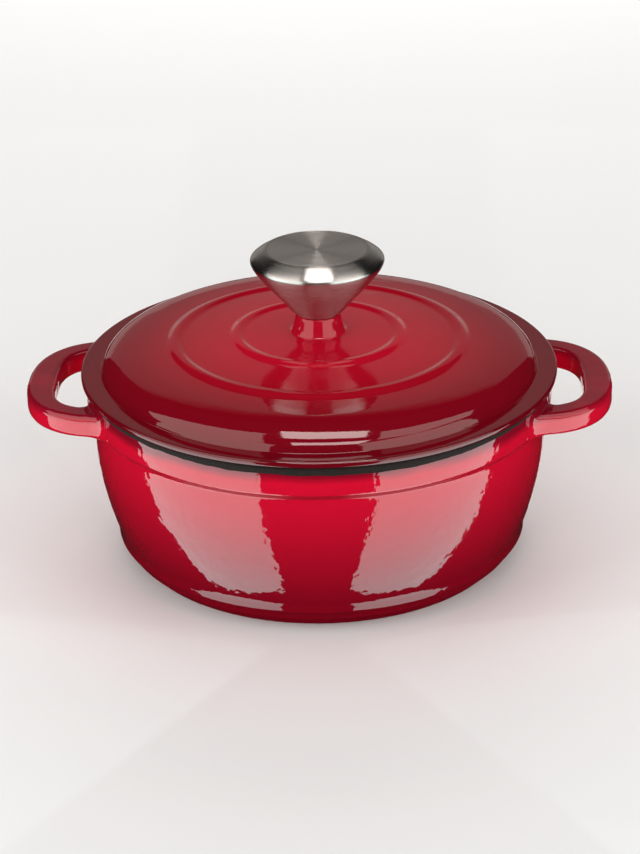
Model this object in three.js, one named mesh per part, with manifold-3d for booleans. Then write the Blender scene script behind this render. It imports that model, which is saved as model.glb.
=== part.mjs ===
// Small round cast iron dutch oven: an enamelled pot with two loop handles, a domed lid with
// two raised rings, and a hollow stainless steel knob held by one screw from below.
// Millimetres. +Z is up, z = 0 is the plane the pot stands on, +X runs through the right handle.
import * as THREE from 'three';
import { mergeVertices } from 'three/addons/utils/BufferGeometryUtils.js';
import Module from 'manifold-3d';

const wasm = await Module();
wasm.setup();

// ---------------------------------------------------------------- driving dimensions
const GAP = 0.3;                   // air left between two pieces that touch on the real object

// pot
const FOOT_R = 83.9;               // outer radius of the ring the pot stands on
const FOOT_WIDTH = 5.0;            // flat width of that ring
const RECESS = 1.5;                // the middle of the underside is raised by this much
const BELT_R = 88.8;               // narrow step just above the foot
const BASE_RING_R = 92.3;          // rounded ring above the step
const BODY_R = 101.2;              // widest part of the bowl
const COLLAR_R = 104;              // thicker collar at the top of the wall
const COLLAR_Z = 70.2;             // middle of the slant under the collar
const RIM_Z = 84.2;                // flat top of the rim
const RIM_INNER_R = 100.2;
const FLOOR_Z = 6;                 // cooking surface
const BOWL_OUTSIDE = [[95.5, 24], [98.1, 34], [100.2, 46], [BODY_R, 58]];
const BOWL_INSIDE = [[99.9, 78], [98.6, 69], [97.4, 58], [96.4, 46], [94.3, 34], [91.2, 22.5],
  [87.2, 14.6], [81, 8.9]];

// loop handles, one on each side of the pot
const HANDLE_Z = 70;               // underside
const HANDLE_THICK = 10.2;
const HANDLE_EDGE = 2.4;           // rounding of the long edges
const HANDLE_CENTRE_X = 92;        // both plan curves of the loop are centred here
const LOOP_OUTER = { a: 38.5, b: 44, power: 2.4 };
const LOOP_INNER = { a: 25.5, b: 32, power: 3.2 };
const ROOT_FILLET_OUTER = 15;      // where the loop flows into the collar
const ROOT_FILLET_INNER = 4;
const ROOT_R = 101.6;              // the loop's root is buried in the wall to this radius

// lid
const LID_R = 106;
const LID_Z = RIM_Z + GAP;         // underside of the flange
const FLANGE_TOP = 87.3;
const CREASE_R = 97.0;             // sharp inner corner between the flange and the dome
const SHOULDER = [[96.9, 88.2], [96.2, 90], [94.7, 92], [92, 94.1], [88, 95.85], [82, 97.05],
  [76, 97.7]];
const SKIRT_R = 97.5;              // locating ring inside the pot
const SKIRT_WIDTH = 3;
const SKIRT_Z = 79.6;
const RIBS = [                     // raised rings on the dome: their outer and inner feet, and height
  { outer: [68.5, 98.4], inner: [59.5, 99.25], height: 1.05 },
  { outer: [40.5, 100.9], inner: [32.1, 101.45], height: 1.0 },
];
const BOSS_R = 9.9;                // at the top; it flares a little towards its foot
const BOSS_FOOT = [14.5, 102.4];
const BOSS_TOP = 111;
const SCREW_HOLE_R = 3.5;
const PAD_Z = 97.6;                // flat pad under the lid for the screw's washers
const PAD_R = 11;
const LID_HOLLOW = [[24, 97.9], [42, 96.6], [60, 95.0], [76, 93.2], [84, 92.1], [89, 90.4], [92.3, 87.6]];

// knob and its screw
const KNOB_Z = BOSS_TOP + GAP;
const KNOB_TOP = 141;
const KNOB_NECK_R = 10.4;
const KNOB_R = 29.6;
const KNOB_CREASE_R = 22.8;        // edge between the top disc and the bevel
const KNOB_FLANK = [[12.6, 113.9], [17.4, 119.8], [23.0, 126.0], [28.0, 132.4]];
const SHEET = 1.3;                 // wall of the hollow knob
const CAP_R = 22.2;
const CAP_THICK = 1.3;
const INSERT = { r: 7.4, bore: 3.2, z: 113.0, top: 126 };
const WASHER = { r: 7, bore: 3.3, thick: 1.2 };
const SPRING = { r: 5.4, bore: 3.3, thick: 1.6, gapDeg: 14 };
const SCREW = { r: 2.9, headR: 6, headH: 3.3, tip: 124, slotW: 1.1, slotL: 6.4, slotDeep: 1.5 };

// facets round a full turn
const TURN_POT = 60;
const TURN_LID = 60;
const TURN_KNOB = 40;
const TURN_SMALL = 24;

// ---------------------------------------------------------------- helpers
// Closed solid of revolution about Z from [radius, height] points, bottom first, outer side first.
function lathe(points, turns) {
  const geometry = new THREE.LatheGeometry(points.map(([r, z]) => new THREE.Vector2(r, z)), turns);
  geometry.rotateX(Math.PI / 2);
  return welded(geometry);
}

// Same geometry with shared vertices, so that it is one closed surface, facing outwards.
function welded(geometry) {
  geometry.deleteAttribute('normal');
  geometry.deleteAttribute('uv');
  const merged = mergeVertices(geometry, 1e-4);
  const p = merged.attributes.position.array;
  const old = merged.index.array;
  const kept = [];
  let volume = 0;
  for (let i = 0; i < old.length; i += 3) {
    const [a, b, c] = [old[i], old[i + 1], old[i + 2]];
    if (a === b || b === c || a === c) continue;
    kept.push(a, b, c);
    const [ax, ay, az, bx, by, bz, cx, cy, cz] = [a, b, c].flatMap(
      (v) => [p[3 * v], p[3 * v + 1], p[3 * v + 2]]);
    volume += ax * (by * cz - bz * cy) + ay * (bz * cx - bx * cz) + az * (bx * cy - by * cx);
  }
  if (volume < 0) {
    for (let i = 0; i < kept.length; i += 3) [kept[i], kept[i + 1]] = [kept[i + 1], kept[i]];
  }
  merged.setIndex(kept);
  return merged;
}

function toManifold(geometry) {
  return new wasm.Manifold(new wasm.Mesh({
    numProp: 3,
    vertProperties: new Float32Array(geometry.attributes.position.array),
    triVerts: new Uint32Array(geometry.index.array),
  }));
}

function fromManifold(solid) {
  const mesh = solid.getMesh();
  const geometry = new THREE.BufferGeometry();
  geometry.setAttribute('position', new THREE.BufferAttribute(new Float32Array(mesh.vertProperties), 3));
  geometry.setIndex(new THREE.BufferAttribute(new Uint32Array(mesh.triVerts), 1));
  return geometry;
}

// Evenly spaced points on a smooth curve through the given [r, z] points.
function smooth(points, steps) {
  const curve = new THREE.SplineCurve(points.map(([r, z]) => new THREE.Vector2(r, z)));
  return curve.getPoints(steps).map((v) => [v.x, v.y]);
}

// Rounded bump between two feet on the dome.
function rib({ outer, inner, height }) {
  return Array.from({ length: 9 }, (_, i) => {
    const t = i / 8;
    return [outer[0] + (inner[0] - outer[0]) * t,
      outer[1] + (inner[1] - outer[1]) * t + height * (1 - Math.cos(2 * Math.PI * t)) / 2];
  });
}

function named(name, geometry, material) {
  geometry.computeVertexNormals();
  const mesh = new THREE.Mesh(geometry, material);
  mesh.name = name;
  return mesh;
}

// ---------------------------------------------------------------- materials
const finish = (color, roughness, metalness) =>
  new THREE.MeshStandardMaterial({ color, roughness, metalness });
const redEnamel = () => finish(0xb5102a, 0.15, 0);
const brushedSteel = () => finish(0xb9b7b4, 0.35, 1);
const plainSteel = () => finish(0x9a9a98, 0.45, 1);

// ---------------------------------------------------------------- pot
function potShell() {
  const outside = [
    [0, RECESS], [FOOT_R - FOOT_WIDTH - 1.5, RECESS], [FOOT_R - FOOT_WIDTH, 0], [FOOT_R, 0],
    [FOOT_R + 1.4, 4.0], [BELT_R - 0.8, 4.4], [BELT_R, 5.3], [BELT_R, 7.6], [BELT_R + 0.5, 8.4],
    [BASE_RING_R - 1.1, 8.9], [BASE_RING_R - 0.2, 10.2], [BASE_RING_R, 12.4],
    ...smooth([[BASE_RING_R - 0.1, 13.6], ...BOWL_OUTSIDE, [BODY_R - 0.2, COLLAR_Z - 1.8]], 9),
    [BODY_R + 0.1, COLLAR_Z - 1.1], [COLLAR_R - 0.8, COLLAR_Z + 1],      // slanting underside of the collar
    [COLLAR_R, COLLAR_Z + 3], [COLLAR_R, RIM_Z - 2.4], [COLLAR_R - 0.5, RIM_Z - 0.7],
    [COLLAR_R - 1.6, RIM_Z],
  ];
  const inside = [
    [RIM_INNER_R + 0.8, RIM_Z], [RIM_INNER_R, RIM_Z - 0.8],
    ...smooth([...BOWL_INSIDE, [72, FLOOR_Z + 0.2]], 9),
    [0, FLOOR_Z],
  ];
  return lathe([...outside, ...inside], TURN_POT);
}

// Plan curve of the loop: a rounded oval. t = 0 is the point farthest from the pot.
function loopPoint({ a, b, power }, t) {
  const c = Math.cos(t);
  const s = Math.sin(t);
  const bend = (v) => Math.sign(v) * Math.abs(v) ** (2 / power);
  return new THREE.Vector2(HANDLE_CENTRE_X + a * bend(c), b * bend(s));
}

function loopNormal(oval, t) {
  const tangent = loopPoint(oval, t + 1e-3).sub(loopPoint(oval, t - 1e-3)).normalize();
  return new THREE.Vector2(tangent.y, -tangent.x);
}

// Half of a plan curve, from the far point to the collar, ending in a fillet of the given radius.
// side is +1 when the fillet lies outside the loop and -1 when it lies in the hole.
function halfLoop(oval, fillet, side, steps, arcSteps) {
  const wallR = COLLAR_R - 0.25;
  const centreAt = (t) => loopPoint(oval, t).addScaledVector(loopNormal(oval, t), side * fillet);
  let low = 0.2;
  let high = Math.PI / 2;
  for (let i = 0; i < 40; i += 1) {
    const mid = (low + high) / 2;
    if (centreAt(mid).length() > wallR + fillet) low = mid; else high = mid;
  }
  const points = [];
  for (let i = 0; i <= steps; i += 1) points.push(loopPoint(oval, (low * i) / steps));
  const centre = centreAt(low);
  const start = Math.atan2(points[steps].y - centre.y, points[steps].x - centre.x);
  let end = Math.atan2(-centre.y, -centre.x);
  while (end - start > Math.PI) end -= 2 * Math.PI;
  while (end - start < -Math.PI) end += 2 * Math.PI;
  for (let i = 1; i <= arcSteps; i += 1) {
    const angle = start + ((end - start) * i) / arcSteps;
    points.push(new THREE.Vector2(centre.x + fillet * Math.cos(angle), centre.y + fillet * Math.sin(angle)));
  }
  return points;
}

// Plan outline of the loop as one bent bar, with both ends running on into the wall of the pot.
function barOutline() {
  const outer = halfLoop(LOOP_OUTER, ROOT_FILLET_OUTER, 1, 12, 5);
  const inner = halfLoop(LOOP_INNER, ROOT_FILLET_INNER, -1, 10, 3);
  const buried = (half) => half[half.length - 1].clone().setLength(ROOT_R - 3 * HANDLE_EDGE);
  const upper = [...outer, buried(outer), buried(inner), ...inner.slice().reverse()];
  const lower = upper.slice(1, -1).map((p) => new THREE.Vector2(p.x, -p.y)).reverse();
  return [...upper, ...lower];
}

function handle(side) {
  const geometry = new THREE.ExtrudeGeometry(new THREE.Shape(barOutline()), {
    depth: HANDLE_THICK - 2 * HANDLE_EDGE, curveSegments: 1, steps: 1,
    bevelEnabled: true, bevelThickness: HANDLE_EDGE, bevelSize: HANDLE_EDGE,
    bevelOffset: -HANDLE_EDGE, bevelSegments: 3,
  });
  geometry.translate(0, 0, HANDLE_Z + HANDLE_EDGE);
  if (side < 0) geometry.rotateZ(Math.PI);
  const rootCut = lathe([[0, HANDLE_Z - 5], [ROOT_R, HANDLE_Z - 5], [ROOT_R, RIM_Z], [0, RIM_Z]], TURN_POT);
  return toManifold(welded(geometry)).subtract(toManifold(rootCut));
}

function potBody() {
  let solid = toManifold(potShell());
  for (const side of [1, -1]) solid = solid.add(handle(side));
  return named('pot_body', fromManifold(solid), redEnamel());
}

// ---------------------------------------------------------------- lid
function lid() {
  const [big, small] = RIBS;
  const top = [
    [SKIRT_R - 0.6, SKIRT_Z], [SKIRT_R, SKIRT_Z + 0.6], [SKIRT_R + 0.1, LID_Z], [LID_R - 1.0, LID_Z],
    [LID_R, LID_Z + 0.9], [LID_R, FLANGE_TOP - 1.0], [LID_R - 0.9, FLANGE_TOP],
    [CREASE_R + 0.5, FLANGE_TOP], [CREASE_R, FLANGE_TOP + 0.5],
    ...smooth([...SHOULDER, big.outer], 14).slice(0, -1),
    ...rib(big),
    ...smooth([big.inner, [50, 100.15], small.outer], 3).slice(1, -1),
    ...rib(small),
    [24, 101.95], BOSS_FOOT, [BOSS_R + 2.5, BOSS_FOOT[1] + 0.5], [BOSS_R + 1.6, BOSS_FOOT[1] + 1.9],
    [BOSS_R + 0.2, BOSS_TOP - 0.8], [BOSS_R - 0.8, BOSS_TOP], [SCREW_HOLE_R, BOSS_TOP],
  ];
  const under = [
    [SCREW_HOLE_R, PAD_Z], [PAD_R, PAD_Z], [PAD_R + 0.8, PAD_Z + 0.7],
    ...smooth(LID_HOLLOW, 9),
    [SKIRT_R - SKIRT_WIDTH, 83.6], [SKIRT_R - SKIRT_WIDTH + 0.1, SKIRT_Z + 0.6],
    [SKIRT_R - SKIRT_WIDTH + 0.7, SKIRT_Z],
  ];
  return named('lid', lathe([...top, ...under, top[0]], TURN_LID), redEnamel());
}

// ---------------------------------------------------------------- knob
function knobShell() {
  const outside = [
    [SCREW_HOLE_R, KNOB_Z], [KNOB_NECK_R - 1.2, KNOB_Z], [KNOB_NECK_R - 0.2, KNOB_Z + 0.4],
    ...smooth([[KNOB_NECK_R + 0.5, KNOB_Z + 1.1], ...KNOB_FLANK], 6),
    [KNOB_R - 0.7, 133.9], [KNOB_R - 0.15, 135.0], [KNOB_R, 135.8], [KNOB_R - 0.2, 136.4],
    [KNOB_R - 0.9, 137.05], [KNOB_R - 2.1, 137.95], [KNOB_CREASE_R + 0.8, KNOB_TOP - 0.45],
    [KNOB_CREASE_R, KNOB_TOP - 0.05], [CAP_R + GAP, KNOB_TOP - 0.05],
  ];
  const inside = [
    [CAP_R + GAP, KNOB_TOP - CAP_THICK - GAP], [CAP_R - 1.8, KNOB_TOP - CAP_THICK - GAP],
    [CAP_R - 1.8, KNOB_TOP - CAP_THICK - GAP - 0.8], [CAP_R, KNOB_TOP - CAP_THICK - GAP - 1.0],
    [KNOB_R - 2.3, 136.0], [KNOB_R - SHEET - 0.1, 135.3], [KNOB_R - SHEET - 0.8, 133.9],
    ...smooth([[21.7, 126.7], [16.2, 120.6], [11.2, 114.9]], 3),
    [KNOB_NECK_R - SHEET, KNOB_Z + SHEET], [SCREW_HOLE_R, KNOB_Z + SHEET],
  ];
  return named('knob_shell', lathe([...outside, ...inside, outside[0]], TURN_KNOB), brushedSteel());
}

// Top disc of the knob, spun very slightly hollow.
function knobCap() {
  const bottom = KNOB_TOP - CAP_THICK;
  const profile = [[0, bottom - 0.1], [CAP_R - 0.3, bottom], [CAP_R, bottom + 0.3], [CAP_R, KNOB_TOP - 0.2],
    [CAP_R - 0.2, KNOB_TOP], [CAP_R * 0.5, KNOB_TOP - 0.25], [0, KNOB_TOP - 0.4]];
  return named('knob_cap', lathe(profile, TURN_KNOB), brushedSteel());
}

function ring(name, outerR, boreR, z, thick, edge, material) {
  const profile = [[boreR, z], [outerR - edge, z], [outerR, z + edge], [outerR, z + thick - edge],
    [outerR - edge, z + thick], [boreR, z + thick], [boreR, z]];
  return named(name, lathe(profile, TURN_SMALL), material);
}

// Threaded bush welded inside the neck of the knob.
const knobInsert = () => ring('knob_insert', INSERT.r, INSERT.bore, INSERT.z, INSERT.top - INSERT.z, 0.6,
  plainSteel());

// ---------------------------------------------------------------- screw and washers
const washerZ = PAD_Z - GAP - WASHER.thick;
const springZ = washerZ - GAP - SPRING.thick;
const headTop = springZ - GAP;

const flatWasher = () => ring('flat_washer', WASHER.r, WASHER.bore, washerZ, WASHER.thick, 0.2,
  plainSteel());

function springWasher() {
  const half = THREE.MathUtils.degToRad(SPRING.gapDeg / 2);
  const shape = new THREE.Shape();
  shape.absarc(0, 0, SPRING.r, half, 2 * Math.PI - half, false);
  shape.absarc(0, 0, SPRING.bore, 2 * Math.PI - half, half, true);
  shape.closePath();
  const geometry = new THREE.ExtrudeGeometry(shape, {
    depth: SPRING.thick, bevelEnabled: false, curveSegments: 20,
  });
  geometry.translate(0, 0, springZ);
  return named('spring_washer', welded(geometry), plainSteel());
}

// Pan head screw with a cross recess; the shank is plain, without the thread.
function knobScrew() {
  const bottom = headTop - SCREW.headH;
  const profile = [[0, bottom], [3.6, bottom], [SCREW.headR - 0.7, bottom + 0.8],
    [SCREW.headR, bottom + 2.0], [SCREW.headR, headTop], [SCREW.r, headTop],
    [SCREW.r, SCREW.tip - 0.8], [SCREW.r - 0.7, SCREW.tip], [0, SCREW.tip]];
  let solid = toManifold(lathe(profile, TURN_SMALL));
  for (const [x, y] of [[SCREW.slotL, SCREW.slotW], [SCREW.slotW, SCREW.slotL]]) {
    const slot = new THREE.BoxGeometry(x, y, 2 * SCREW.slotDeep);
    slot.translate(0, 0, bottom);
    solid = solid.subtract(toManifold(welded(slot)));
  }
  return named('knob_screw', fromManifold(solid), plainSteel());
}

// ---------------------------------------------------------------- assembly
const group = new THREE.Group();
group.name = 'dutch_oven';
group.add(potBody(), lid(), knobShell(), knobCap(), knobInsert(), flatWasher(), springWasher(), knobScrew());

export default group;
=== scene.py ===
# %% [markdown]
# # A small enamelled cast iron dutch oven
# A cast iron pot is poured in sand, ground smooth and fired several times with glass enamel. This notebook
# puts the visible surfaces on a packed mechanical model: a pot with two loop handles, a domed lid with raised
# rings, and a stainless steel knob held by a screw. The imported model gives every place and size, in metres,
# so a piece is right where it is made and nothing is moved afterwards.

# %% Load the frame
import math

import bmesh
import bpy
import numpy as np
from mathutils import Euler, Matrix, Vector


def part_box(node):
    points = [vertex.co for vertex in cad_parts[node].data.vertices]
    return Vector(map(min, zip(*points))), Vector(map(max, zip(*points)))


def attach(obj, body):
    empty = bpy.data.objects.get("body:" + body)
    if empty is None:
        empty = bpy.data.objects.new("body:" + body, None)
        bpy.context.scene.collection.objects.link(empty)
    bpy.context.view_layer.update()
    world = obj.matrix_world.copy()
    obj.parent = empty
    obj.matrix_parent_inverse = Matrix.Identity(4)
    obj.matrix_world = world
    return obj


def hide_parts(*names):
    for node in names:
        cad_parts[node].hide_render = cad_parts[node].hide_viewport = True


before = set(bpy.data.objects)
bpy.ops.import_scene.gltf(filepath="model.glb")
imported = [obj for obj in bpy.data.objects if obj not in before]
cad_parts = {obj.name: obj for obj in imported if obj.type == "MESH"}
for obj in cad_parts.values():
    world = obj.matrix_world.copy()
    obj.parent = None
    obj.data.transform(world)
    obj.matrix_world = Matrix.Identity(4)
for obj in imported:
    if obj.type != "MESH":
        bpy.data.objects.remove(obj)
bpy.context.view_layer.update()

# %% Sizes
MM = 0.001
_, pot_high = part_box("pot_body")
lid_low, lid_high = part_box("lid")
shell_low, shell_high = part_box("knob_shell")
_, cap_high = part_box("knob_cap")

RIM_Z = pot_high[2] / MM          # flat top of the pot's rim
HANDLE_REACH = pot_high[0] / MM   # farthest point of each handle from the axis
COLLAR_R = pot_high[1] / MM       # thick band at the top of the wall
LID_R = lid_high[0] / MM
SKIRT_Z = lid_low[2] / MM         # lower edge of the lid's locating ring
BOSS_Z = lid_high[2] / MM         # top of the lid's boss, where the knob sits
KNOB_R = shell_high[0] / MM
KNOB_Z = shell_low[2] / MM
print(f"rim {RIM_Z:.1f} mm, handles reach {HANDLE_REACH:.1f} mm, lid {LID_R:.1f} mm, knob {KNOB_R:.1f} mm")

# %% Small helpers for node trees and colours
def linear(hex_code):
    """An sRGB hex colour as the linear RGBA that shaders work in."""
    values = [int(hex_code[i:i + 2], 16) / 255 for i in (1, 3, 5)]
    return tuple(v / 12.92 if v <= 0.04045 else ((v + 0.055) / 1.055) ** 2.4 for v in values) + (1.0,)


def add(tree, kind, inputs=None, **settings):
    """Adds a node, sets its properties, then fills or links its inputs by name or number."""
    node = tree.nodes.new(kind)
    for name, value in settings.items():
        setattr(node, name, value)
    for key, value in (inputs or {}).items():
        if isinstance(value, bpy.types.NodeSocket):
            tree.links.new(value, node.inputs[key])
        else:
            node.inputs[key].default_value = value
    return node


# %% [markdown]
# ## The camera
# A long lens from about a metre away, a little above the lid, so that the circles read as flat ovals and both
# handles show. It leans by one degree, and stands a degree and a half to the right of the pot's own front.

# %% Camera
TARGET = Vector((0, 0, 0.055))
DISTANCE = 1.2
ELEVATION = math.radians(24.6)
AZIMUTH = math.radians(1.6)
LEAN = math.radians(-0.96)

camera_data = bpy.data.cameras.new("camera")
camera_data.sensor_fit = "VERTICAL"
camera_data.sensor_height = 36
camera_data.lens = 112.1
camera = bpy.data.objects.new("camera", camera_data)
bpy.context.collection.objects.link(camera)
outward = Vector((math.sin(AZIMUTH) * math.cos(ELEVATION), -math.cos(AZIMUTH) * math.cos(ELEVATION),
                  math.sin(ELEVATION)))
camera.location = TARGET + DISTANCE * outward
look = (-outward).to_track_quat("-Z", "Y").to_matrix() @ Euler((0, 0, LEAN)).to_matrix()
camera.rotation_euler = look.to_euler()
bpy.context.scene.camera = camera
bpy.context.scene.view_settings.view_transform = "Standard"
print("camera at", [round(v, 3) for v in camera.location])

# %% [markdown]
# ## The studio
# Enamel is glass: what the eye reads is mostly the room mirrored in it. So the room is built twice. Area
# lights, which the gloss does not see, give the even light. Cards, which only the gloss sees, draw the
# reflections: two tilted panels overhead left and right, a bar and a strip between them, a grey wall behind,
# and white boards on the table with a dark gap towards the camera. Round that the room is dark, which keeps
# the enamel's depth of colour.

# %% Floor, lights and cards
def soft_box(name, place, aim, width, height, glow):
    """A rectangular area light that faces a point. glow is its brightness against lit white paper."""
    light = bpy.data.lights.new(name, "AREA")
    light.shape = "RECTANGLE"
    light.size, light.size_y = width, height
    light.energy = glow * math.pi * width * height
    lamp = bpy.data.objects.new(name, light)
    lamp.location = place
    lamp.rotation_euler = (Vector(aim) - Vector(place)).to_track_quat("-Z", "Y").to_euler()
    lamp.visible_glossy = False
    bpy.context.collection.objects.link(lamp)


def flat_card(name, corners, material, only_mirrored=True):
    """A flat polygon of the studio, not part of the object."""
    mesh = bpy.data.meshes.new(name)
    mesh.from_pydata(corners, [], [range(len(corners))])
    mesh.materials.append(material)
    card = bpy.data.objects.new(name, mesh)
    bpy.context.collection.objects.link(card)
    if only_mirrored:
        card.visible_camera = card.visible_diffuse = card.visible_shadow = False
    return card


def paper_white():
    """Matt pale background paper."""
    material = bpy.data.materials.new("pale_paper")
    material.use_nodes = True
    shader = material.node_tree.nodes["Principled BSDF"]
    shader.inputs["Base Color"].default_value = linear("#F4F3F1")
    shader.inputs["Roughness"].default_value = 0.9
    shader.inputs["Specular IOR Level"].default_value = 0.1
    return material


def glowing_card(name, strength, fade=None, tint="#FFF6F1"):
    """A board lit so evenly that it reads as one flat tone. fade is (full height, dark height) in metres."""
    material = bpy.data.materials.new(name)
    material.use_nodes = True
    tree = material.node_tree
    tree.nodes.clear()
    glow = add(tree, "ShaderNodeEmission", {"Color": linear(tint), "Strength": strength})
    if fade:
        place = add(tree, "ShaderNodeTexCoord").outputs["Object"]
        height = add(tree, "ShaderNodeSeparateXYZ", {0: place}).outputs["Z"]
        dim = add(tree, "ShaderNodeMapRange", {"Value": height, "From Min": fade[0], "From Max": fade[1],
                                               "To Min": strength, "To Max": 0.0})
        tree.links.new(dim.outputs["Result"], glow.inputs["Strength"])
    add(tree, "ShaderNodeOutputMaterial", {"Surface": glow.outputs[0]})
    return material


FLOOR_HALF = 4.0
floor = flat_card("floor", [(-FLOOR_HALF, -FLOOR_HALF, 0), (FLOOR_HALF, -FLOOR_HALF, 0),
                            (FLOOR_HALF, FLOOR_HALF, 0), (-FLOOR_HALF, FLOOR_HALF, 0)], paper_white(), False)
floor.visible_glossy = False

BOARD_Z = 0.0005
BOARD = [(0.019, -0.104), (0.100, -0.236), (0.36, -0.66), (1.2, -0.55), (1.2, 0.11), (0.227, -0.054),
         (0.056, -0.085)]      # corners on the right; the left board mirrors them
board_white = glowing_card("board_white", 3.9, tint="#DCF6F6")
for side, hand in ((-1, "left"), (1, "right")):
    corners = [(side * x, y, BOARD_Z) for x, y in BOARD]
    flat_card(f"board_{hand}", corners[::side], board_white)

SHEET = [(0.095, 0.01), (0.36, 0.60), (0.095, 0.60)]      # a dimmer board on the table, behind on each side
sheet_white = glowing_card("sheet_white", 0.9)
for side, hand in ((-1, "left"), (1, "right")):
    flat_card(f"sheet_{hand}", [(side * x, y, BOARD_Z) for x, y in SHEET][::side], sheet_white)


CARD_Z = 1.1           # height of the overhead cards, in metres
PANEL_LEAN = 0.45      # how fast a side panel drops as it runs outwards
PANEL_HINGE_X = 0.3    # where a side panel is as high as the bars


def sloping(x):
    """Height of the two side panels: they lean down and outwards from above the pot."""
    return CARD_Z + PANEL_LEAN * (PANEL_HINGE_X - abs(x))


PANELS = {     # corners (x, y) seen from above
    "left": [(-0.28, -0.10), (-0.48, -0.05), (-1.10, 0.27), (-1.39, 0.08), (-1.55, -0.49), (-1.55, -0.96),
             (-0.55, -0.96)],
    "right": [(0.335, -0.13), (0.43, -0.10), (0.85, 0.24), (0.97, 0.06), (0.84, -0.24), (0.80, -0.52),
              (0.52, -0.75)],
}
panel_white = glowing_card("panel_white", 2.0)
for hand, corners in PANELS.items():
    flat_card(f"panel_{hand}", [(x, y, sloping(x)) for x, y in corners], panel_white)

STRIPS = {     # two bars across the middle, with a dark gap between them
    "strip_back": [(-0.17, 0.09), (0.22, 0.05), (0.33, -0.42), (-0.23, -0.40)],
    "strip_front": [(-0.25, -0.80), (0.50, -0.80), (0.55, -1.28), (-0.30, -1.28)],
}
strip_white = glowing_card("strip_white", 8.0)
for name, corners in STRIPS.items():
    flat_card(name, [(x, y, CARD_Z) for x, y in corners], strip_white)

SCREEN = [(0.30, -0.75, 0.09), (0.80, -0.10, 0.09), (0.80, -0.10, 0.62), (0.30, -0.75, 0.62)]
for side, hand in ((-1, "left"), (1, "right")):
    flat_card(f"screen_{hand}", [(side * x, y, z) for x, y, z in SCREEN][::side], panel_white)

WALL_Y = 1.5
WALL_LEFT, WALL_RIGHT, WALL_TOP = -0.88, 0.90, 2
GLOW_BAND = 0.37       # below this height the wall is lit brightly, as a table edge would be
wall_grey = glowing_card("wall_grey", 0.24, fade=(1.20, 1.52))
wall_low = glowing_card("wall_low", 0.46)
for name, low, high, material in (("wall_low", 0, GLOW_BAND, wall_low),
                                  ("wall_behind", GLOW_BAND, WALL_TOP, wall_grey)):
    flat_card(name, [(WALL_LEFT, WALL_Y, low), (WALL_RIGHT, WALL_Y, low), (WALL_RIGHT, WALL_Y, high),
                     (WALL_LEFT, WALL_Y, high)], material)

for side, hand, glow in ((-1, "left", 2.3), (1, "right", 2.0)):
    soft_box("box_" + hand, (side * 1.1, -0.5, 0.6), (0, 0, 0.05), 0.9, 0.9, glow)
soft_box("box_top", (0, 0.1, 1.2), (0, 0, 0), 0.7, 0.7, 0.6)
soft_box("box_behind", (0, 1.4, 0.75), (0, 0, 0.09), 1.6, 0.8, 2.6)
soft_box("box_front", (0, -1.6, 0.6), (0, 0, 0.05), 1.6, 0.9, 2.2)

world = bpy.data.worlds.new("studio")
bpy.context.scene.world = world
world.use_nodes = True
room = world.node_tree
ray = add(room, "ShaderNodeLightPath").outputs
seen = add(room, "ShaderNodeMix", {0: ray["Is Glossy Ray"], 6: linear("#F4F4F4"), 7: linear("#1E1C1B")},
           data_type="RGBA")
lit = add(room, "ShaderNodeMix", {0: ray["Is Diffuse Ray"], 6: seen.outputs[2], 7: linear("#A8A8A8")},
          data_type="RGBA")
room.links.new(lit.outputs[2], room.nodes["Background"].inputs["Color"])
room.nodes["Background"].inputs["Strength"].default_value = 1.0

# %% [markdown]
# ## Enamel
# Red enamel on iron is a coloured glass fired over a dark ground coat. Its skin has a faint orange peel that
# makes the edges of reflections ragged. A principled shader with a low roughness gives the glass, and two
# scales of bump give the peel. A ramp on height or radius paints shade into the red: the pot darker low down
# and on its flat tops, the lid darker towards its flange.

# %% Enamel finishes
PEEL_MM = 4.8          # width of one dimple of the orange peel
RIPPLE_MM = 16.0       # slower waves left by the casting under it
CLOUD_MM = 28.0        # patches where the coat ran thicker or thinner
DRIFT_MM = 4.0         # how far such a patch moves the colours along the piece


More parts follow.
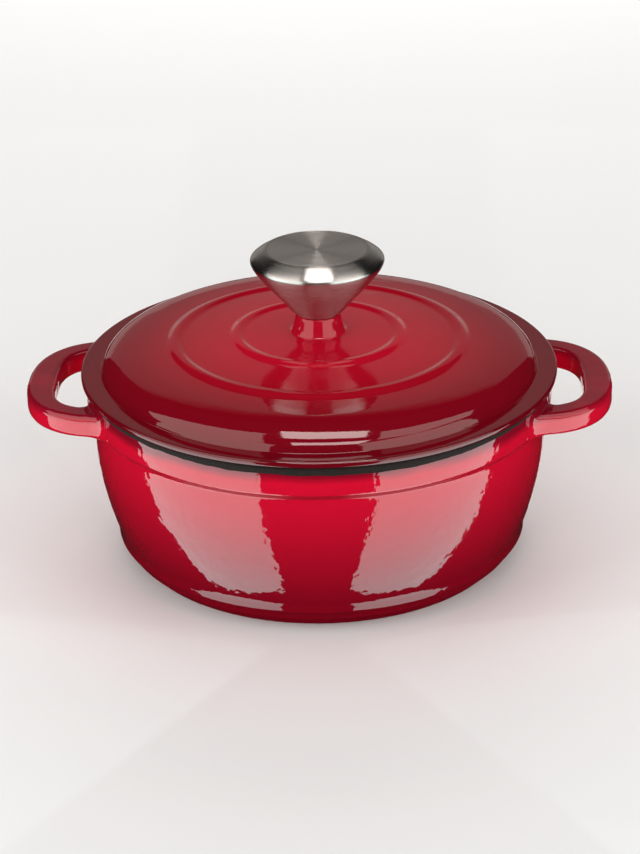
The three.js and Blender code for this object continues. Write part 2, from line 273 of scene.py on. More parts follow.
def enamel(name, colours, along, roughness, peel=0.035, ripple=0.10, shine=0.5):
    """Glossy vitreous enamel. colours are (position in mm, hex), read along height 'z' or radius 'r'."""
    material = bpy.data.materials.new(name)
    material.use_nodes = True
    tree = material.node_tree
    shader = tree.nodes["Principled BSDF"]
    place = add(tree, "ShaderNodeTexCoord").outputs["Object"]
    parts = add(tree, "ShaderNodeSeparateXYZ", {0: place}).outputs
    if along == "z":
        measure = parts["Z"]
    else:
        flat = add(tree, "ShaderNodeCombineXYZ", {0: parts["X"], 1: parts["Y"]})
        measure = add(tree, "ShaderNodeVectorMath", {0: flat.outputs[0]}, operation="LENGTH").outputs["Value"]
    cloud = add(tree, "ShaderNodeTexNoise", {"Vector": place, "Scale": 1 / (CLOUD_MM * MM), "Detail": 2.0})
    low, high = colours[0][0] * MM, colours[-1][0] * MM
    drift = add(tree, "ShaderNodeMath", {0: cloud.outputs["Fac"], 1: DRIFT_MM * MM, 2: -DRIFT_MM / 2 * MM},
                operation="MULTIPLY_ADD")
    # Place along the colour ramp, moved a little by the patches; on pot and lid that ramp carries painted
    # shade.
    ramp_place = add(tree, "ShaderNodeMath", {0: measure, 1: drift.outputs[0]}, operation="ADD")
    share = add(tree, "ShaderNodeMapRange", {"Value": ramp_place.outputs[0], "From Min": low, "From Max": high})
    ramp = add(tree, "ShaderNodeValToRGB", {0: share.outputs["Result"]})
    marks = ramp.color_ramp.elements
    for i, (position, _) in enumerate(colours):
        stop = (position * MM - low) / (high - low)
        mark = marks[i] if i < 2 else marks.new(stop)
        mark.position = stop
    for (_, code), mark in zip(colours, sorted(marks, key=lambda m: m.position)):
        mark.color = linear(code)
    tree.links.new(ramp.outputs["Color"], shader.inputs["Base Color"])
    shader.inputs["Roughness"].default_value = roughness
    shader.inputs["IOR"].default_value = 1.52
    shader.inputs["Specular IOR Level"].default_value = shine

    waves = add(tree, "ShaderNodeTexNoise", {"Vector": place, "Scale": 1 / (RIPPLE_MM * MM), "Detail": 1.0})
    slow = add(tree, "ShaderNodeBump", {"Height": waves.outputs["Fac"], "Strength": 1.0,
                                        "Distance": ripple * MM})
    dimples = add(tree, "ShaderNodeTexNoise", {"Vector": place, "Scale": 1 / (PEEL_MM * MM), "Detail": 1.5})
    fine = add(tree, "ShaderNodeBump", {"Height": dimples.outputs["Fac"], "Strength": 1.0,
                                        "Distance": peel * MM, "Normal": slow.outputs["Normal"]})
    tree.links.new(fine.outputs["Normal"], shader.inputs["Normal"])
    return material


# Painted shade: the red darkens towards the foot, where less light falls, and again at 80 mm on the flat tops
# of collar and handles.
POT_REDS = [(0, "#760518"), (14, "#7E061A"), (40, "#A60A24"), (60, "#C20C2B"), (76, "#D00D2E"),
            (80, "#840A20")]
# Painted shade: the lid's red darkens from the boss out to the flange, where the dome slopes away from the
# light behind it.
LID_REDS = [(11, "#B40C27"), (18, "#C60D2A"), (32, "#C20D29"), (48, "#B80B24"), (62, "#A80A20"),
            (80, "#8C081A"), (93, "#7C0617"), (106, "#680513")]
red_pot = enamel("vitreous_enamel_red_pot", POT_REDS, "z", 0.05, peel=0.21)
red_lid = enamel("vitreous_enamel_red_lid", LID_REDS, "r", 0.05)
# Painted shade in the slant under the collar: a darker and duller red, which reads as a dark line round the
# pot.
red_painted_crease_shade = enamel("vitreous_enamel_red_thin", [(0, "#A00A24"), (100, "#A80B26")], "z", 0.35, shine=0.08)
cream = enamel("vitreous_enamel_cream", [(0, "#E6DBC4"), (60, "#E9E0CB"), (84, "#DCCFB4")], "z", 0.12)


def rim_black():
    """Matt black ground coat at the rim. It is sooty beside the gloss, with pale flecks: a few chips, and
    more crowded on its top edge as a painted highlight.
    """
    material = bpy.data.materials.new("ground_coat_black")
    material.use_nodes = True
    tree = material.node_tree
    shader = tree.nodes["Principled BSDF"]
    place = add(tree, "ShaderNodeTexCoord").outputs["Object"]
    grit = add(tree, "ShaderNodeTexNoise", {"Vector": place, "Scale": 1 / (0.9 * MM), "Detail": 3.0})
    soot = add(tree, "ShaderNodeMix", {0: grit.outputs["Fac"], 6: linear("#0A0807"), 7: linear("#2C2320")},
               data_type="RGBA")
    # Painted highlight: pale flecks gather towards the top of the rim, where light falls on its rounded edge.
    height = add(tree, "ShaderNodeSeparateXYZ", {0: place}).outputs["Z"]
    edge = add(tree, "ShaderNodeMapRange", {"Value": height, "From Min": (RIM_Z - 2.2) * MM,
                                            "From Max": (RIM_Z - 0.3) * MM})
    chips = add(tree, "ShaderNodeTexNoise", {"Vector": place, "Scale": 1 / (2.6 * MM), "Detail": 3.0})
    chips_with_painted_highlight = add(tree, "ShaderNodeMath", {0: chips.outputs["Fac"], 1: edge.outputs["Result"]},
               operation="MULTIPLY")
    pale_chips_and_painted_highlight = add(tree, "ShaderNodeMapRange", {"Value": chips_with_painted_highlight.outputs[0], "From Min": 0.62, "From Max": 0.72})
    ramp = add(tree, "ShaderNodeMix", {0: pale_chips_and_painted_highlight.outputs["Result"], 6: soot.outputs[2], 7: linear("#9A928A")},
               data_type="RGBA")
    tree.links.new(ramp.outputs[2], shader.inputs["Base Color"])
    shader.inputs["Roughness"].default_value = 0.75
    shader.inputs["Specular IOR Level"].default_value = 0.15
    bump = add(tree, "ShaderNodeBump", {"Height": grit.outputs["Fac"], "Strength": 0.6,
                                        "Distance": 0.12 * MM})
    tree.links.new(bump.outputs["Normal"], shader.inputs["Normal"])
    return material


black = rim_black()

# %% [markdown]
# ## Stainless steel
# The knob is spun sheet, brushed while it turns, so its scratches run round the axis. That stretches every
# highlight across the scratches: a bright wedge on the top disc, upright bands on the bevel and the cone.
# The shader's anisotropy does this, with its tangent taken round Z and turned by a quarter, and a fine ring
# pattern adds the scratches that are wide enough to see.

# %% Steel finishes
def spun_steel(name, dark, tone, roughness, anisotropy):
    """Stainless steel brushed on the lathe. Scratches lie 0.2 mm apart, finer than the eye can part."""
    material = bpy.data.materials.new(name)
    material.use_nodes = True
    tree = material.node_tree
    shader = tree.nodes["Principled BSDF"]
    place = add(tree, "ShaderNodeTexCoord").outputs["Object"]
    parts = add(tree, "ShaderNodeSeparateXYZ", {0: place}).outputs
    flat = add(tree, "ShaderNodeCombineXYZ", {0: parts["X"], 1: parts["Y"]})
    radius = add(tree, "ShaderNodeVectorMath", {0: flat.outputs[0]}, operation="LENGTH").outputs["Value"]
    rings = add(tree, "ShaderNodeCombineXYZ", {0: radius, 1: parts["Z"]})
    grain = add(tree, "ShaderNodeTexNoise", {"Vector": rings.outputs[0], "Scale": 1 / (0.2 * MM),
                                             "Detail": 2.0})
    colour = add(tree, "ShaderNodeMix", {0: grain.outputs["Fac"], 6: linear(dark), 7: linear(tone)},
                 data_type="RGBA")
    tree.links.new(colour.outputs[2], shader.inputs["Base Color"])
    rough = add(tree, "ShaderNodeMapRange", {"Value": grain.outputs["Fac"], "To Min": roughness - 0.01,
                                             "To Max": roughness + 0.01})
    tree.links.new(rough.outputs["Result"], shader.inputs["Roughness"])
    shader.inputs["Metallic"].default_value = 1.0
    shader.inputs["Anisotropic"].default_value = anisotropy
    shader.inputs["Anisotropic Rotation"].default_value = 0.25      # light spreads across the scratches
    tangent = add(tree, "ShaderNodeTangent", direction_type="RADIAL", axis="Z")
    tree.links.new(tangent.outputs["Tangent"], shader.inputs["Tangent"])
    bump = add(tree, "ShaderNodeBump", {"Height": grain.outputs["Fac"], "Strength": 0.3,
                                        "Distance": 0.0012 * MM})
    tree.links.new(bump.outputs["Normal"], shader.inputs["Normal"])
    return material


knob_steel = spun_steel("brushed_stainless_steel", "#B7B5B1", "#C1BEBA", 0.27, 0.95)
disc_steel = spun_steel("brushed_stainless_steel_disc", "#CCC9C5", "#D6D3CF", 0.27, 0.95)
screw_steel = spun_steel("plain_stainless_steel", "#9D9B97", "#B7B5B1", 0.36, 0.3)

# %% [markdown]
# ## Turned forms
# Pot, lid and knob are all figures of revolution: one outline swept round the axis. A Geometry Nodes tree
# does that for each of them. It takes the outline as a chain of edges, sweeps it round a circle, pulls the
# poles shut, and adds what a casting has: a slow unevenness, and a wavy line where one coat meets the next.
# The outline carries two numbers at each point: the coat it wears, and how far the wavy line may move it.

# %% The tree that turns an outline into a solid
DENT_WIDTH = 0.045     # metres across one slow dent of the casting
WAVE_WIDTH = 0.014     # metres across one wave of the line between two coats
SIDE_RISE = 0.55       # the line stands higher at the sides, as a share of its waves
FRONT_DROP = 0.95      # and drops by this share towards front and back
WAVE_REACH_MM = 2.8    # points this near the line move with it
EDGE_MM = 1.2          # only points this near the collar's outside do


def turned_tree(name, finishes):
    tree = bpy.data.node_groups.new(name, "GeometryNodeTree")
    face = tree.interface
    face.new_socket("Outline", in_out="INPUT", socket_type="NodeSocketGeometry")
    face.new_socket("Steps Round", in_out="INPUT", socket_type="NodeSocketInt")
    face.new_socket("Unevenness", in_out="INPUT", socket_type="NodeSocketFloat")
    face.new_socket("Coat Line Waves", in_out="INPUT", socket_type="NodeSocketFloat")
    face.new_socket("Seed", in_out="INPUT", socket_type="NodeSocketInt")
    face.new_socket("Solid", in_out="OUTPUT", socket_type="NodeSocketGeometry")
    given = add(tree, "NodeGroupInput").outputs

    # The sweep runs round a circle of 1 m, with the outline shifted inwards by the same metre.
    circle = add(tree, "GeometryNodeCurvePrimitiveCircle", {"Resolution": given["Steps Round"],
                                                            "Radius": 1.0})
    chain = add(tree, "GeometryNodeMeshToCurve", {"Mesh": given["Outline"]})
    swept = add(tree, "GeometryNodeCurveToMesh", {"Curve": circle.outputs["Curve"],
                                                  "Profile Curve": chain.outputs["Curve"]})
    closed = add(tree, "GeometryNodeMergeByDistance", {"Geometry": swept.outputs["Mesh"], "Distance": 5e-6})
    closed = add(tree, "GeometryNodeFlipFaces", {"Mesh": closed.outputs[0]})

    place = add(tree, "GeometryNodeInputPosition").outputs[0]
    normal = add(tree, "GeometryNodeInputNormal").outputs[0]
    noise = add(tree, "ShaderNodeTexNoise", {"Vector": place, "W": given["Seed"], "Scale": 1 / DENT_WIDTH,
                                             "Detail": 1.0}, noise_dimensions="4D")
    depth = add(tree, "ShaderNodeMath", {0: noise.outputs[0], 1: given["Unevenness"]}, operation="MULTIPLY")
    inward = add(tree, "ShaderNodeMath", {0: depth.outputs[0], 1: -1.0}, operation="MULTIPLY")
    dent = add(tree, "ShaderNodeVectorMath", {0: normal, "Scale": inward.outputs[0]}, operation="SCALE")
    cast = add(tree, "GeometryNodeSetPosition", {"Geometry": closed.outputs[0], "Offset": dent.outputs[0]})

    line = add(tree, "ShaderNodeTexNoise", {"Vector": place, "W": given["Seed"], "Scale": 1 / WAVE_WIDTH,
                                            "Detail": 3.0}, noise_dimensions="4D")
    swing = add(tree, "ShaderNodeMath", {0: line.outputs[0], 1: -0.5}, operation="ADD")
    front = add(tree, "ShaderNodeSeparateXYZ", {0: place}).outputs["Y"]
    deep = add(tree, "ShaderNodeMath", {0: front, 1: 1 / (COLLAR_R * MM)}, operation="MULTIPLY")
    square = add(tree, "ShaderNodeMath", {0: deep.outputs[0], 1: 2.0}, operation="POWER")
    lower = add(tree, "ShaderNodeMath", {0: square.outputs[0], 1: -FRONT_DROP, 2: SIDE_RISE},
                operation="MULTIPLY_ADD")
    both = add(tree, "ShaderNodeMath", {0: swing.outputs[0], 1: lower.outputs[0]}, operation="ADD")
    reach = add(tree, "ShaderNodeMath", {0: both.outputs[0], 1: given["Coat Line Waves"]},
                operation="MULTIPLY")
    loose = add(tree, "GeometryNodeInputNamedAttribute", {"Name": "loose"}, data_type="FLOAT").outputs[0]
    shift = add(tree, "ShaderNodeMath", {0: reach.outputs[0], 1: loose}, operation="MULTIPLY")
    rise = add(tree, "ShaderNodeCombineXYZ", {2: shift.outputs[0]})
    waved = add(tree, "GeometryNodeSetPosition", {"Geometry": cast.outputs[0], "Offset": rise.outputs[0]})

    smooth = add(tree, "GeometryNodeSetShadeSmooth", {"Geometry": waved.outputs[0], "Shade Smooth": True})
    solid = add(tree, "GeometryNodeRealizeInstances", {"Geometry": smooth.outputs[0]}).outputs[0]
    coat = add(tree, "GeometryNodeInputNamedAttribute", {"Name": "coat"}, data_type="FLOAT").outputs[0]
    for number, finish in enumerate(finishes):
        wears = add(tree, "FunctionNodeCompare", {0: coat, 1: float(number)}, data_type="FLOAT",
                    operation="EQUAL")
        wears.inputs["Epsilon"].default_value = 0.499
        solid = add(tree, "GeometryNodeSetMaterial", {"Geometry": solid, "Selection": wears.outputs[0],
                                                      "Material": finish}).outputs[0]
    add(tree, "NodeGroupOutput", {0: solid})
    return tree


def drop_empty_slot(mesh):
    """Removes the empty first material slot that the sweep leaves, and renumbers the faces."""
    if mesh.materials and mesh.materials[0] is None:
        slots = np.empty(len(mesh.polygons), np.int32)
        mesh.polygons.foreach_get("material_index", slots)
        mesh.materials.pop(index=0)
        mesh.polygons.foreach_set("material_index", slots - 1)


def face_outwards(mesh):
    """Turns a closed mesh whose faces point inwards the right way round."""
    shape = bmesh.new()
    shape.from_mesh(mesh)
    bmesh.ops.recalc_face_normals(shape, faces=shape.faces)
    if shape.calc_volume(signed=True) < 0:
        bmesh.ops.reverse_faces(shape, faces=shape.faces)
    shape.to_mesh(mesh)
    shape.free()


def turned(name, sections, steps, unevenness=0.0, waves=0.0, wavy=0, seed=1):
    """Sweeps an outline round Z. sections are (finish, [(r, z) in mm, ...]) and share their end points.
    An outline starts and ends on the axis, or closes on itself. Section number wavy has a wavy start."""
    points, coats, loose, finishes = [], [], [], []
    for finish, path in sections:
        number = len(finishes)
        finishes.append(finish)
        if points:
            coats[-1] = number - 0.5
            path = path[1:]
        points += path
        coats += [float(number)] * len(path)
    ring = math.dist(points[0], points[-1]) < 1e-6
    if ring:
        points, coats = points[:-1], coats[:-1]
    seam = [p for p, c in zip(points, coats) if wavy and c == wavy - 0.5]
    for r, z in points:
        near = 1 - abs(z - seam[0][1]) / WAVE_REACH_MM if seam and r > COLLAR_R - EDGE_MM else 0
        loose.append(max(0.0, near))
    outline = bpy.data.meshes.new(name)
    last = len(points) - 1
    edges = [(i, i + 1) for i in range(last)] + ([(last, 0)] if ring else [])
    # Curve to Mesh lays the outline's +Y along -Z of a flat circle, so heights go in with a minus.
    outline.from_pydata([(r * MM - 1.0, -z * MM, 0) for r, z in points], edges, [])
    for label, values in (("coat", coats), ("loose", loose)):
        outline.attributes.new(label, "FLOAT", "POINT").data.foreach_set("value", values)
    for finish in finishes:
        outline.materials.append(finish)
    holder = bpy.data.objects.new(name + "_outline", outline)
    bpy.context.collection.objects.link(holder)
    tree = turned_tree(name + "_turning", finishes)
    sweep = holder.modifiers.new("turning", "NODES")
    sweep.node_group = tree
    wanted = {"Steps Round": steps, "Unevenness": unevenness * MM, "Coat Line Waves": waves * MM,
              "Seed": seed}
    for socket in tree.interface.items_tree:
        if socket.name in wanted and socket.in_out == "INPUT":
            sweep[socket.identifier] = wanted[socket.name]
    ready = holder.evaluated_get(bpy.context.evaluated_depsgraph_get())
    mesh = bpy.data.meshes.new_from_object(ready)
    holder.modifiers.clear()
    bpy.data.objects.remove(holder)
    mesh.name = name
    drop_empty_slot(mesh)
    piece = bpy.data.objects.new(name, mesh)
    bpy.context.collection.objects.link(piece)
    face_outwards(mesh)
    print(f"{name}: {len(mesh.polygons)} faces, {len(points)} points in the outline")
    return piece


# %% [markdown]
# ## Outlines
# An outline is a list of corners, each with the radius of its fillet, and free curves where the form bulges.
# Long stretches are cut every two millimetres or so, because a gloss shows each uneven facet.

# %% Outline helpers
def arcs(*corners, finest=12):
    """Corners (r, z, fillet) joined by straight lines, each corner rounded by an arc of its fillet."""
    path = [corners[0][:2]]
    for before, (x, z, fillet), after in zip(corners, corners[1:], corners[2:]):
        here = Vector((x, z))
        back, on = (Vector(before[:2]) - here), (Vector(after[:2]) - here)
        half = back.angle(on) / 2
        reach = min(fillet / math.tan(half), back.length * 0.49, on.length * 0.49) if fillet else 0
        if reach < 1e-4:
            path.append((x, z))
            continue
        start, end = here + back.normalized() * reach, here + on.normalized() * reach
        middle = here + (back.normalized() + on.normalized()).normalized() * (reach / math.cos(half))
        first, sweep = start - middle, math.pi - 2 * half
        turn = 1 if first.cross(end - middle) > 0 else -1
        count = max(2, round(math.degrees(sweep) / finest))
        for i in range(count + 1):
            a = turn * sweep * i / count
            path.append((middle.x + first.x * math.cos(a) - first.y * math.sin(a),
                         middle.y + first.x * math.sin(a) + first.y * math.cos(a)))
    path.append(corners[-1][:2])
    return path


def bulge(points, steps):
    """A smooth curve through a few points, as Catmull and Rom drew it."""
    p = np.array([points[0], *points, points[-1]], float)
    p[0], p[-1] = 2 * p[1] - p[2], 2 * p[-2] - p[-3]
    path = []
    for i in range(1, len(p) - 2):
        for t in np.linspace(0, 1, steps, endpoint=False):
            path.append(tuple(0.5 * (2 * p[i] + (p[i + 1] - p[i - 1]) * t
                                     + (2 * p[i - 1] - 5 * p[i] + 4 * p[i + 1] - p[i + 2]) * t ** 2
                                     + (3 * p[i] - p[i - 1] - 3 * p[i + 1] + p[i + 2]) * t ** 3)))
    return [(float(r), float(z)) for r, z in path] + [tuple(points[-1])]


def cut(path, longest=2.0):
    """Cuts long stretches of an outline into even steps."""
    fine = [path[0]]
    for a, b in zip(path, path[1:]):
        count = max(1, math.ceil(math.dist(a, b) / longest))
        fine += [(a[0] + (b[0] - a[0]) * i / count, a[1] + (b[1] - a[1]) * i / count)
                 for i in range(1, count + 1)]
    return fine


# %% [markdown]
# ## The pot
# One casting: the bowl swells to its widest just under a thicker collar, and stands on a foot with two small
# rings above it. Red covers the outside up to a wavy line near the rim, with a line of painted shade in the
# slant under the collar. The rim itself is uncovered black ground coat, the inside is cream, and the
# underside is black.

# %% Pot casting
FOOT_R = 83.9
COLLAR_Z = 70.2
STEPS_ROUND = 240      # steps round the pot and the lid
RIM_LINE_Z = 81.3      # mean height of the line between red and black
FLOOR_Z = 6.0

underside = arcs((0, 1.5, 0), (77.4, 1.5, 1), (78.9, 0, 0.5), (82.6, 0, 0))
outside = (arcs((82.6, 0, 0), (FOOT_R, 0, 0.7), (85.3, 4.2, 0.7), (88.5, 4.4, 0.8), (88.8, 5.4, 0.6),
                (88.8, 8.3, 0.6), (91.4, 8.6, 1.0), (92.3, 10.0, 1.6), (92.2, 13.6, 0))
           + bulge([(92.2, 13.6), (95.5, 24), (98.1, 34), (100.2, 46), (101.1, 58),
                    (101.0, COLLAR_Z - 2.9)], 7)[1:]
           + [(101.1, COLLAR_Z - 2.2)])
slant = arcs((101.1, COLLAR_Z - 2.2, 0), (101.5, COLLAR_Z - 1.8, 0.4), (103.5, COLLAR_Z + 0.5, 0))
collar = arcs((103.5, COLLAR_Z + 0.5, 0), (103.8, COLLAR_Z + 1.1, 0.6), (COLLAR_R, COLLAR_Z + 4, 3),
              (COLLAR_R, RIM_LINE_Z, 0))
bare_rim = arcs((COLLAR_R, RIM_LINE_Z, 0), (COLLAR_R, RIM_Z, 1.7), (100.2, RIM_Z, 1.0), (100.1, 82.4, 0))
inside = (arcs((100.1, 82.4, 0), (99.9, 78, 0))
          + bulge([(99.9, 78), (98.6, 69), (97.4, 58), (96.4, 46), (94.3, 34), (91.2, 22.5), (87.2, 14.6),
                   (81, 8.9), (72, FLOOR_Z + 0.15), (62, FLOOR_Z)], 6)[1:] + [(0, FLOOR_Z)])
pot_sections = [(black, cut(underside)), (red_pot, cut(outside, 1.6)), (red_painted_crease_shade, cut(slant, 0.8)),
                (red_pot, cut(collar, 1.2)), (black, cut(bare_rim, 0.8)), (cream, cut(inside))]
pot = turned("pot_casting", pot_sections, STEPS_ROUND, unevenness=0.10, waves=3.0, wavy=4, seed=4)

# %% [markdown]
# ## The loop handles
# Each handle is a bar bent into a rounded loop and cast in one with the collar. Seen from above, both edges
# of the bar are rounded ovals, and each flows into the collar in a fillet, wide outside and tight in the
# finger gap. The bar is made section by section between those two edges, and grows a small fillet on top
# where it meets the wall. A boolean joins it to the pot.

# %% Handles
HANDLE_LOW, HANDLE_HIGH = 70.0, 80.2
CENTRE_X = 92.0
OUTER = {"a": HANDLE_REACH - CENTRE_X, "b": 44.0, "power": 2.4, "fillet": 15.0, "side": 1}
INNER = {"a": 25.5, "b": 32.0, "power": 3.2, "fillet": 4.0, "side": -1}
ROOT_R = 101.7         # the bar's root is buried in the wall to this radius
ROOT_RISE = 2.4        # the small fillet on top of the bar, where it meets the wall
TOP_EDGE, BOTTOM_EDGE = 2.6, 2.2      # rounding of the bar's long edges


def oval_point(oval, t):
    def bend(v):
        return math.copysign(abs(v) ** (2 / oval["power"]), v)
    return Vector((CENTRE_X + oval["a"] * bend(math.cos(t)), oval["b"] * bend(math.sin(t))))


def half_edge(oval, count):
    """One edge of the bar in plan, from the far point of the loop to its root in the wall."""
    def fillet_centre(t):
        tangent = (oval_point(oval, t + 1e-3) - oval_point(oval, t - 1e-3)).normalized()
        return oval_point(oval, t) + Vector((tangent.y, -tangent.x)) * oval["side"] * oval["fillet"]
    low, high = 0.2, math.pi / 2
    for _ in range(40):
        middle = (low + high) / 2
        if fillet_centre(middle).length > COLLAR_R - 0.15 + oval["fillet"]:
            low = middle
        else:
            high = middle
    path = [oval_point(oval, low * i / 60) for i in range(61)]
    centre = fillet_centre(low)
    start = math.atan2(*(path[-1] - centre).yx)
    end = math.atan2(*(-centre).yx)
    end += 2 * math.pi * round((start - end) / (2 * math.pi))
    for i in range(1, 25):
        a = start + (end - start) * i / 24
        path.append(centre + oval["fillet"] * Vector((math.cos(a), math.sin(a))))
    path.append(path[-1].normalized() * ROOT_R)
    along = np.cumsum([0] + [(b - a).length for a, b in zip(path, path[1:])])
    xs, ys = zip(*path)
    even = np.linspace(0, along[-1], count)
    return [Vector((float(np.interp(s, along, xs)), float(np.interp(s, along, ys)))) for s in even]


def bar_section(width, height, top_edge, bottom_edge):
    """A rounded rectangle: offsets across the bar from -width/2 and up from 0."""
    half = width / 2
    corners = [(0, 0, 0), (half, 0, bottom_edge), (half, height, top_edge), (-half, height, top_edge),
               (-half, 0, bottom_edge), (0, 0, 0)]
    return cut(arcs(*corners, finest=15), 1.6)[:-1]


def resample(ring, count):
    """The same closed ring with another number of points."""
    p = np.array(ring + ring[:1])
    along = np.concatenate([[0], np.cumsum(np.linalg.norm(np.diff(p, axis=0), axis=1))])
    even = np.linspace(0, along[-1], count, endpoint=False)
    return [tuple(float(np.interp(s, along, p[:, axis])) for axis in range(3)) for s in even]


def loop_handle(side):
    stations = 90
    outer, inner = half_edge(OUTER, stations), half_edge(INNER, stations)
    pairs = list(zip(inner, outer))
    pairs = [(Vector((i.x, -i.y)), Vector((o.x, -o.y))) for i, o in pairs[:0:-1]] + pairs
    rings = []
    for a, b in pairs:
        across = (b - a).normalized()
        middle = (a + b) / 2
        clear = min(a.length, b.length) - COLLAR_R
        depth = ROOT_RISE - max(0.0, min(ROOT_RISE, clear))
        lift = ROOT_RISE - math.sqrt(max(0.0, ROOT_RISE ** 2 - depth ** 2))
        shape = bar_section((b - a).length, HANDLE_HIGH - HANDLE_LOW + lift, TOP_EDGE, BOTTOM_EDGE)
        rings.append([(middle.x + across.x * u, middle.y + across.y * u, HANDLE_LOW + v) for u, v in shape])
    counts = {len(r) for r in rings}
    size = min(counts)
    if len(counts) > 1:
        rings = [resample(r, size) for r in rings]
    points = [(MM * side * x, MM * side * y, MM * z) for ring in rings for x, y, z in ring]
    faces = []
    for i in range(len(rings) - 1):
        for j in range(size):
            k = (j + 1) % size
            faces.append((i * size + j, i * size + k, (i + 1) * size + k, (i + 1) * size + j))
    faces += [tuple(range(size)), tuple((len(rings) - 1) * size + j for j in reversed(range(size)))]
    mesh = bpy.data.meshes.new("loop_handle")
    mesh.from_pydata(points, [], faces)
    mesh.materials.append(red_pot)
    mesh.shade_smooth()
    face_outwards(mesh)
    bar = bpy.data.objects.new("loop_handle", mesh)
    bpy.context.collection.objects.link(bar)
    return bar


def join(piece, other, operation="UNION"):
    """Joins or cuts a piece by another solid, and keeps the result as a plain mesh."""
    tool = piece.modifiers.new("join", "BOOLEAN")
    tool.operation = operation
    tool.object = other
    tool.solver = "MANIFOLD"
    tool.material_mode = "TRANSFER"
    ready = piece.evaluated_get(bpy.context.evaluated_depsgraph_get())
    mesh = bpy.data.meshes.new_from_object(ready)
    piece.modifiers.clear()
    piece.data = mesh
    bpy.data.objects.remove(other)


for side in (-1, 1):
    join(pot, loop_handle(side))
print("pot with handles:", len(pot.data.polygons), "faces")

# %% [markdown]
# ## The lid
# The lid is a shallow dome with a flat flange. Two rings stand proud of it, round as beads, and a boss in the
# middle carries the knob. Underneath, a ring drops into the pot and keeps the lid in its place.

# %% Lid casting
FLANGE_Z = 87.3
CREASE_R = 97.0
SKIRT_R = 97.5
HOLE_R = 3.5
PAD_Z = 97.6
RINGS = [(64.0, 4.5, 1.25), (36.3, 4.2, 1.15)]      # radius, half width and height of each raised ring


def dome_top():
    """The dome from the flange's crease to the boss, with the raised rings added on it."""
    base = bulge([(CREASE_R - 0.1, 88.2), (96.2, 90), (94.7, 92), (92, 94.1), (88, 95.85), (82, 97.05),
                  (76, 97.7), (68, 98.45), (60, 99.2), (50, 100.15), (40, 100.95), (32, 101.5), (24, 101.95),
                  (15.2, 102.35)], 24)
    path = []
    for r, z in base:
        for middle, half, height in RINGS:
            away = abs(r - middle) / half
            if away < 1:
                z += height * (0.5 + 0.5 * math.cos(math.pi * away))
        path.append((r, z))
    return path


LID_Z = RIM_Z + 0.3
lid_rim = arcs((SKIRT_R + 0.1, LID_Z, 0), (LID_R, LID_Z, 1.1), (LID_R, FLANGE_Z, 1.1),
               (CREASE_R + 0.1, FLANGE_Z, 0.3), (CREASE_R - 0.1, 88.2, 0))
boss = arcs((15.2, 102.35, 0), (12.2, 102.6, 1.6), (11.4, 104.4, 3.0), (9.9, BOSS_Z, 0.8),
            (HOLE_R + 0.4, BOSS_Z, 0.2), (HOLE_R, BOSS_Z - 0.6, 0))
lid_under = (arcs((HOLE_R, BOSS_Z - 0.6, 0), (HOLE_R, PAD_Z, 0.3), (11.0, PAD_Z, 0.8),
                  (12.4, PAD_Z + 0.7, 0.8), (16, 98.25, 0))
             + bulge([(16, 98.25), (24, 97.9), (42, 96.6), (60, 95.0), (76, 93.2), (84, 92.1), (89, 90.4),
                      (92.3, 87.6)], 10)[1:]
             + arcs((92.3, 87.6, 0), (94.3, 83.6, 3), (94.4, SKIRT_Z, 1.0), (SKIRT_R, SKIRT_Z, 1.0),
                    (SKIRT_R + 0.1, LID_Z, 0))[1:])
lid_top = cut(lid_rim, 1.2) + dome_top()[1:] + cut(boss, 1.2)[1:]
lid_sections = [(red_lid, lid_top), (cream, cut(lid_under))]
lid = turned("lid_casting", lid_sections, STEPS_ROUND, unevenness=0.10, seed=9)

# %% [markdown]
# ## The knob and its screw
# The knob is spun from sheet: a hollow cone with a slightly hollow flank, a rounded bevel and a flat disc let
# into the top. A screw with two washers holds it from below.

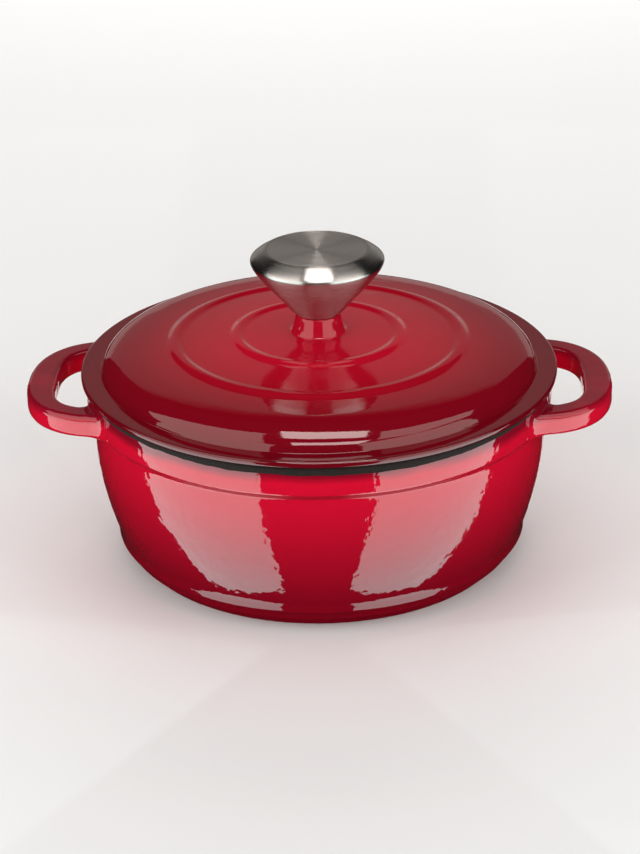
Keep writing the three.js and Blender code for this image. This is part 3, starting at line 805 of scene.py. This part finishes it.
# %% Knob
CAP_R = cap_high[0] / MM
SHEET_MM = 1.3         # wall of the hollow knob
KNOB_STEPS = 160
flank = bulge([(11.0, KNOB_Z + 1.2), (12.6, 113.9), (17.4, 119.8), (23.0, 126.0), (28.0, 132.4)], 8)
bevel = bulge([(28.0, 132.4), (28.9, 133.9), (29.45, 135.0), (29.6, 135.8), (29.35, 136.65), (28.6, 137.45),
               (27.3, 138.45), (25.6, 139.5), (23.8, 140.5), (22.8, 140.92), (CAP_R + 0.1, 140.96)], 4)
hollow = arcs((CAP_R + 0.1, 140.95, 0), (CAP_R + 0.1, 139.4, 0.1), (20.4, 139.4, 0.2), (20.4, 138.5, 0.3),
              (22.2, 138.3, 0.3), (27.3, 136.0, 0.5), (28.2, 135.3, 0.5), (27.5, 133.9, 1),
              (21.7, 126.7, 2), (16.2, 120.6, 4), (10.9, 114.6, 2), (9.1, KNOB_Z + SHEET_MM, 0.5),
              (HOLE_R, KNOB_Z + SHEET_MM, 0), (HOLE_R, KNOB_Z, 0))
neck = arcs((HOLE_R, KNOB_Z, 0), (9.9, KNOB_Z, 1.0), (11.0, KNOB_Z + 1.2, 0))
shell_path = neck + flank[1:] + bevel[1:] + hollow[1:]
shell_path = [(min(r, KNOB_R), z) for r, z in shell_path]
shell = turned("knob_shell_spun", [(knob_steel, cut(shell_path, 0.8))], KNOB_STEPS)
cap_path = arcs((0, 139.5, 0), (CAP_R - 0.2, 139.6, 0.2), (CAP_R, 139.8, 0.1), (CAP_R, 140.97, 0.06),
                (CAP_R - 1.5, 140.9, 3), (CAP_R / 2, 140.6, 20), (0, 140.45, 0))
cap = turned("knob_cap_spun", [(disc_steel, cut(cap_path, 0.8))], KNOB_STEPS)

# %% Fastening under the lid
for name in ("knob_insert", "flat_washer", "spring_washer", "knob_screw"):
    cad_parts[name].data.materials.clear()
    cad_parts[name].data.materials.append(screw_steel)

# %% [markdown]
# ## Which body each piece rides on
# Each new piece stands for the imported solid of the same casting or pressing, and moves with its body.

# %% Ride, replace
for piece, body, node, slot in ((pot, "pot", "pot_body", "red_enamel"), (lid, "lid", "lid", "red_enamel"),
                                (shell, "lid", "knob_shell", "brushed_steel"),
                                (cap, "lid", "knob_cap", "brushed_steel")):
    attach(piece, body)
    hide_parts(node)
